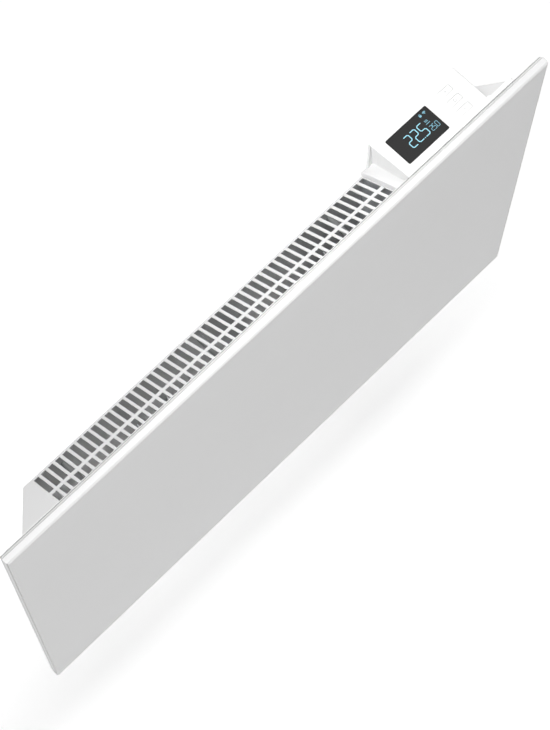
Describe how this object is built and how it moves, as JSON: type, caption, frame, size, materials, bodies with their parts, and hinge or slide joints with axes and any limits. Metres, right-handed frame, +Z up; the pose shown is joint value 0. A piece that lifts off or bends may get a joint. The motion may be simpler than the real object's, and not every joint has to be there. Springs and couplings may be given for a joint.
{
  "type": "wall panel convector heater",
  "caption": "Flat white wall-hung panel heater with a folded front panel, sloping slotted grille, raised control housing with display and push buttons, and a wall bracket.",
  "frame": {"origin": "centre of the wall screw pattern, on the wall's face", "axes": "+X along the wall, to the right of someone who faces the heater; +Y into the wall; +Z up; the front panel faces -Y"},
  "size_m": [0.595, 0.0745, 0.4],
  "materials": {
    "white_paint": "satin powder coat",
    "zinc_sheet": "zinc-plated sheet steel",
    "bracket_steel": "grey powder coat",
    "screw_steel": "zinc-plated steel",
    "fin_aluminium": "extruded aluminium",
    "tube_steel": "stainless steel",
    "ceramic": "unglazed ceramic",
    "black_plastic": "moulded black plastic",
    "dark_rubber": "moulded rubber",
    "board_green": "solder-masked board",
    "brass": "turned brass",
    "white_plastic": "fine-textured white ABS",
    "button_white": "smooth white ABS",
    "ivory_plastic": "natural nylon",
    "window_black": "smoked acrylic",
    "module_grey": "display frame",
    "plunger_red": "moulded nylon",
    "brown_wire": "wire insulation",
    "blue_wire": "wire insulation",
    "green_wire": "wire insulation",
    "red_wire": "silicone insulation",
    "grey_wire": "wire insulation",
    "ribbon": "flat cable"
  },
  "bodies": {
    "heater": {"front_panel": "white_paint", "rear_casing": "white_paint", "heat_shield": "zinc_sheet", "shield_posts": "zinc_sheet", "element_brackets": "zinc_sheet", "cutout_bracket": "zinc_sheet", "compartment_wall": "zinc_sheet", "wall_bracket": "bracket_steel", "casing_screws": "screw_steel", "board_screws": "screw_steel", "clamp_screws": "screw_steel", "housing_screws": "screw_steel", "control_board_screws": "screw_steel", "terminal_screws": "screw_steel", "earth_stud": "screw_steel", "element_fins": "fin_aluminium", "element_tube": "tube_steel", "element_terminals": "tube_steel", "element_bushes": "ceramic", "thermal_cutout": "black_plastic", "relay": "black_plastic", "supply_module": "black_plastic", "switch_cases": "black_plastic", "temperature_sensor": "black_plastic", "wall_grommet": "dark_rubber", "rubber_bumpers": "dark_rubber", "power_board": "board_green", "control_board": "board_green", "board_standoffs": "brass", "earth_nut": "brass", "control_housing": "white_plastic", "cable_gland": "white_plastic", "gland_locknut": "white_plastic", "mains_connector": "ivory_plastic", "ribbon_header": "ivory_plastic", "terminal_block": "ivory_plastic", "cord_clamp": "ivory_plastic", "sensor_clip": "ivory_plastic", "lower_clips": "ivory_plastic", "display_window": "window_black", "display_module": "module_grey", "live_lead": "brown_wire", "neutral_lead": "blue_wire", "earth_lead": "green_wire", "element_lead": "red_wire", "cutout_leads": "red_wire", "sensor_lead": "grey_wire", "ribbon_cable": "ribbon"},
    "button_back": {"button_back": "button_white", "plunger_back": "plunger_red"},
    "button_middle": {"button_middle": "button_white", "plunger_middle": "plunger_red"},
    "button_front": {"button_front": "button_white", "plunger_front": "plunger_red"}
  },
  "joints": [
    {"name": "press_back", "type": "slide", "parent": "heater", "child": "button_back", "axis": [0, 0, -1], "range_m": [0, 0.0007], "stiffness_N_per_m": 800, "springref_m": -0.001},
    {"name": "press_middle", "type": "slide", "parent": "heater", "child": "button_middle", "axis": [0, 0, -1], "range_m": [0, 0.0007], "stiffness_N_per_m": 800, "springref_m": -0.001},
    {"name": "press_front", "type": "slide", "parent": "heater", "child": "button_front", "axis": [0, 0, -1], "range_m": [0, 0.0007], "stiffness_N_per_m": 800, "springref_m": -0.001}
  ]
}
